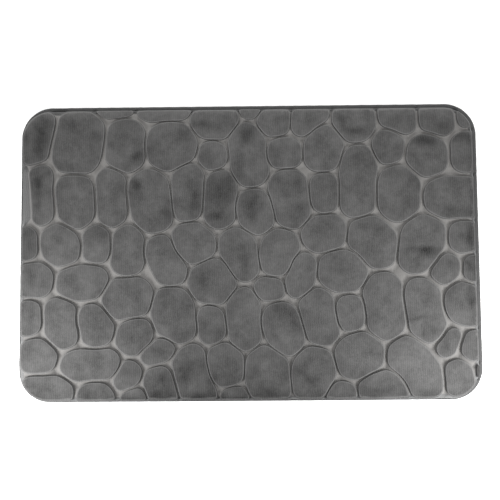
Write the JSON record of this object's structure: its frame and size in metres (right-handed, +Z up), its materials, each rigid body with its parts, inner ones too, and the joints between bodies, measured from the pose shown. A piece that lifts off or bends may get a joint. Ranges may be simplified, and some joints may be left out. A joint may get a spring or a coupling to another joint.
{
  "type": "bath mat",
  "caption": "Rectangular padded bath mat with rounded corners: embossed pebble pile over foam, bound rim and non-slip dotted underside.",
  "frame": {"origin": "on the floor under the middle of the mat", "axes": "+X along the mat's length, +Y across its width, +Z up, pile side up"},
  "size_m": [0.9, 0.58, 0.016],
  "materials": {
    "pile": "matte",
    "foam": "matte",
    "glue_web": "matte",
    "base_cloth": "matte",
    "grip_print": "satin",
    "binding_tape": "matte",
    "thread": "satin",
    "satin_label": "satin"
  },
  "bodies": {
    "root": {"grip_dots": "grip_print", "care_label": "satin_label", "base_cloth": "base_cloth", "lower_glue_web": "glue_web", "foam_core": "foam", "upper_glue_web": "glue_web", "pile_cover": "pile", "edge_binding": "binding_tape", "needle_thread": "thread", "bobbin_thread": "thread"}
  },
  "joints": []
}
